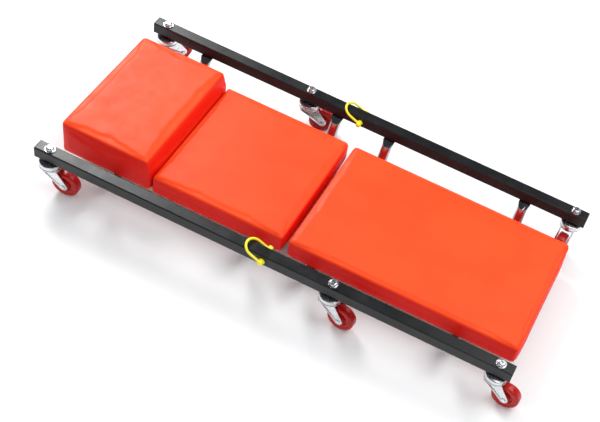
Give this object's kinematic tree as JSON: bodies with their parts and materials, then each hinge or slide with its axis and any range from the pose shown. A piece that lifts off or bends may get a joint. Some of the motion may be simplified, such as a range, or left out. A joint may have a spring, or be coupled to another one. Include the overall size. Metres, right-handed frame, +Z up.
{
  "type": "mechanics creeper",
  "caption": "Low padded creeper: red vinyl cushions with a raised pillow between black square side rails on dropped chrome cross members, swivel casters and yellow-strapped locking pins.",
  "frame": {"origin": "on the floor under the middle of the whole part's box at rest; the trailing wheels put it 16.33 mm towards the foot end and 16.24 mm towards the far rail from the middle of the rails", "axes": "+Z up; -X towards the head end with the pillow, +X towards the foot end; -Y is the near rail and +Y the far rail"},
  "size_m": [1.0486, 0.518, 0.115],
  "materials": {
    "black_enamel": "satin",
    "black_plastic": "matte",
    "bright_tube": "polished",
    "zinc_plate": "bright zinc",
    "plain_steel": "plain",
    "red_vinyl": "fine grained vinyl",
    "plywood": "raw",
    "red_wheel": "glossy",
    "yellow_plastic": "soft gloss"
  },
  "bodies": {
    "frame": {"near_rail_head_half": "black_enamel", "near_rail_foot_half": "black_enamel", "near_rail_insert": "plain_steel", "far_rail_head_half": "black_enamel", "far_rail_foot_half": "black_enamel", "far_rail_insert": "plain_steel", "rail_end_caps": "black_plastic", "cross_member_head_end": "bright_tube", "cross_member_head_inner": "bright_tube", "cross_member_foot_inner": "bright_tube", "cross_member_foot_end": "bright_tube", "cross_member_bolts": "zinc_plate", "cross_member_nuts": "plain_steel", "head_board": "plywood", "leg_board": "plywood", "leg_cushion": "red_vinyl", "mid_cushion": "red_vinyl", "pillow_cushion": "red_vinyl", "cushion_screws": "zinc_plate", "board_tee_nuts": "plain_steel", "caster_king_bolts": "zinc_plate", "caster_bolt_washers": "zinc_plate", "caster_upper_cups": "zinc_plate", "caster_lower_cups": "zinc_plate", "caster_king_nuts": "zinc_plate", "caster_upper_balls": "plain_steel", "caster_lower_balls": "plain_steel"},
    "near_head_caster": {"near_head_fork": "zinc_plate", "near_head_axle": "zinc_plate", "near_head_axle_sleeve": "plain_steel"},
    "near_head_roller": {"near_head_wheel": "red_wheel"},
    "near_mid_caster": {"near_mid_fork": "zinc_plate", "near_mid_axle": "zinc_plate", "near_mid_axle_sleeve": "plain_steel"},
    "near_mid_roller": {"near_mid_wheel": "red_wheel"},
    "near_foot_caster": {"near_foot_fork": "zinc_plate", "near_foot_axle": "zinc_plate", "near_foot_axle_sleeve": "plain_steel"},
    "near_foot_roller": {"near_foot_wheel": "red_wheel"},
    "far_head_caster": {"far_head_fork": "zinc_plate", "far_head_axle": "zinc_plate", "far_head_axle_sleeve": "plain_steel"},
    "far_head_roller": {"far_head_wheel": "red_wheel"},
    "far_mid_caster": {"far_mid_fork": "zinc_plate", "far_mid_axle": "zinc_plate", "far_mid_axle_sleeve": "plain_steel"},
    "far_mid_roller": {"far_mid_wheel": "red_wheel"},
    "far_foot_caster": {"far_foot_fork": "zinc_plate", "far_foot_axle": "zinc_plate", "far_foot_axle_sleeve": "plain_steel"},
    "far_foot_roller": {"far_foot_wheel": "red_wheel"},
    "near_lock": {"near_lock_pin": "zinc_plate", "near_lock_strap": "yellow_plastic"},
    "far_lock": {"far_lock_pin": "zinc_plate", "far_lock_strap": "yellow_plastic"}
  },
  "joints": [
    {"name": "near_head_swivel", "type": "hinge", "parent": "frame", "child": "near_head_caster", "pos_m": [-0.49633, -0.23604, 0.0664], "axis": [0, 0, 1], "continuous": true},
    {"name": "near_head_spin", "type": "hinge", "parent": "near_head_caster", "child": "near_head_roller", "pos_m": [-0.46441, -0.23381, 0.0285], "axis": [-0.0698, 0.9976, 0], "continuous": true},
    {"name": "near_mid_swivel", "type": "hinge", "parent": "frame", "child": "near_mid_caster", "pos_m": [0.11667, -0.23604, 0.0664], "axis": [0, 0, 1], "continuous": true},
    {"name": "near_mid_spin", "type": "hinge", "parent": "near_mid_caster", "child": "near_mid_roller", "pos_m": [0.14849, -0.23938, 0.0285], "axis": [0.1045, 0.9945, 0], "continuous": true},
    {"name": "near_foot_swivel", "type": "hinge", "parent": "frame", "child": "near_foot_caster", "pos_m": [0.46367, -0.23604, 0.0664], "axis": [0, 0, 1], "continuous": true},
    {"name": "near_foot_spin", "type": "hinge", "parent": "near_foot_caster", "child": "near_foot_roller", "pos_m": [0.49563, -0.23772, 0.0285], "axis": [0.0523, 0.9986, 0], "continuous": true},
    {"name": "far_head_swivel", "type": "hinge", "parent": "frame", "child": "far_head_caster", "pos_m": [-0.49633, 0.20356, 0.0664], "axis": [0, 0, 1], "continuous": true},
    {"name": "far_head_spin", "type": "hinge", "parent": "far_head_caster", "child": "far_head_roller", "pos_m": [-0.48033, 0.23127, 0.0285], "axis": [-0.866, 0.5, 0], "continuous": true},
    {"name": "far_mid_swivel", "type": "hinge", "parent": "frame", "child": "far_mid_caster", "pos_m": [-0.14933, 0.20356, 0.0664], "axis": [0, 0, 1], "continuous": true},
    {"name": "far_mid_spin", "type": "hinge", "parent": "far_mid_caster", "child": "far_mid_roller", "pos_m": [-0.12033, 0.21708, 0.0285], "axis": [-0.4226, 0.9063, 0], "continuous": true},
    {"name": "far_foot_swivel", "type": "hinge", "parent": "frame", "child": "far_foot_caster", "pos_m": [0.46367, 0.20356, 0.0664], "axis": [0, 0, 1], "continuous": true},
    {"name": "far_foot_spin", "type": "hinge", "parent": "far_foot_caster", "child": "far_foot_roller", "pos_m": [0.46088, 0.17168, 0.0285], "axis": [0.9962, -0.0872, 0], "continuous": true},
    {"name": "near_lock_turn", "type": "hinge", "parent": "frame", "child": "near_lock", "pos_m": [-0.02633, -0.23604, 0.0933], "axis": [0, 1, 0], "range_deg": [0, 129]},
    {"name": "far_lock_turn", "type": "hinge", "parent": "frame", "child": "far_lock", "pos_m": [-0.02633, 0.20356, 0.0933], "axis": [0, 1, 0], "range_deg": [0, 129]}
  ]
}
